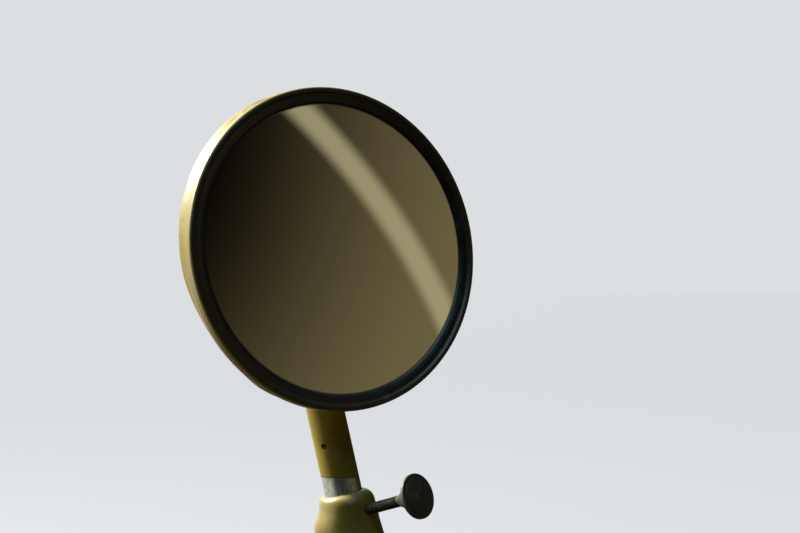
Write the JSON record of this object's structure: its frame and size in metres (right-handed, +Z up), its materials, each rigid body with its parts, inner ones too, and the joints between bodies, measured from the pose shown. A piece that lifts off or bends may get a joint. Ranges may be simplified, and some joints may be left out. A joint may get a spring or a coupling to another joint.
{
  "type": "exterior rear-view mirror",
  "caption": "Round convex rear-view mirror on a leaning telescoping stem, with swivel and tilt joints, a thumb-screw lock and a bolt-on side bracket.",
  "frame": {"origin": "middle of the bracket's two bolt holes, on the pad's face that meets the vehicle", "axes": "+X inboard into the vehicle's side, +Y forward, +Z up; the glass looks back and inboard"},
  "size_m": [0.183, 0.0981, 0.289],
  "materials": {
    "olive_paint": "satin olive drab enamel, worn at the edges",
    "dark_paint": "semi-gloss black-brown enamel",
    "rubber": "smooth black rubber",
    "mirror": "silvered convex glass",
    "steel": "dark oiled steel",
    "fibre": "red-brown vulcanised fibre"
  },
  "bodies": {
    "bracket": {"bracket_arm": "olive_paint", "socket": "olive_paint"},
    "lock_screw": {"thumb_screw": "steel"},
    "stem": {"stem_tube": "olive_paint", "stem_cap": "olive_paint", "stop_pin": "steel"},
    "swivel": {"swivel_collar": "olive_paint", "clamp_bolt": "steel", "clamp_nut": "steel", "pivot_screws": "steel", "friction_washers": "fibre", "spring_washers": "steel"},
    "head": {"yoke": "olive_paint", "rivets": "olive_paint", "shell": "olive_paint", "rim": "dark_paint", "seal": "rubber", "mirror_glass": "mirror"}
  },
  "joints": [
    {"name": "stem_slide", "type": "slide", "parent": "bracket", "child": "stem", "axis": [-0.2164, 0, 0.9763], "range_m": [-0.02, 0.04]},
    {"name": "head_swivel", "type": "hinge", "parent": "stem", "child": "swivel", "pos_m": [-0.14034, 0, 0.16786], "axis": [-0.2164, 0, 0.9763], "continuous": true},
    {"name": "head_tilt", "type": "hinge", "parent": "swivel", "child": "head", "pos_m": [-0.14034, 0, 0.16786], "axis": [0.8188, 0.5446, 0.1815], "range_deg": [-10, 10]},
    {"name": "screw_turn", "type": "hinge", "parent": "bracket", "child": "lock_screw", "pos_m": [-0.11488, 0, 0.05305], "axis": [0.7213, -0.6313, 0.2847], "continuous": true}
  ]
}
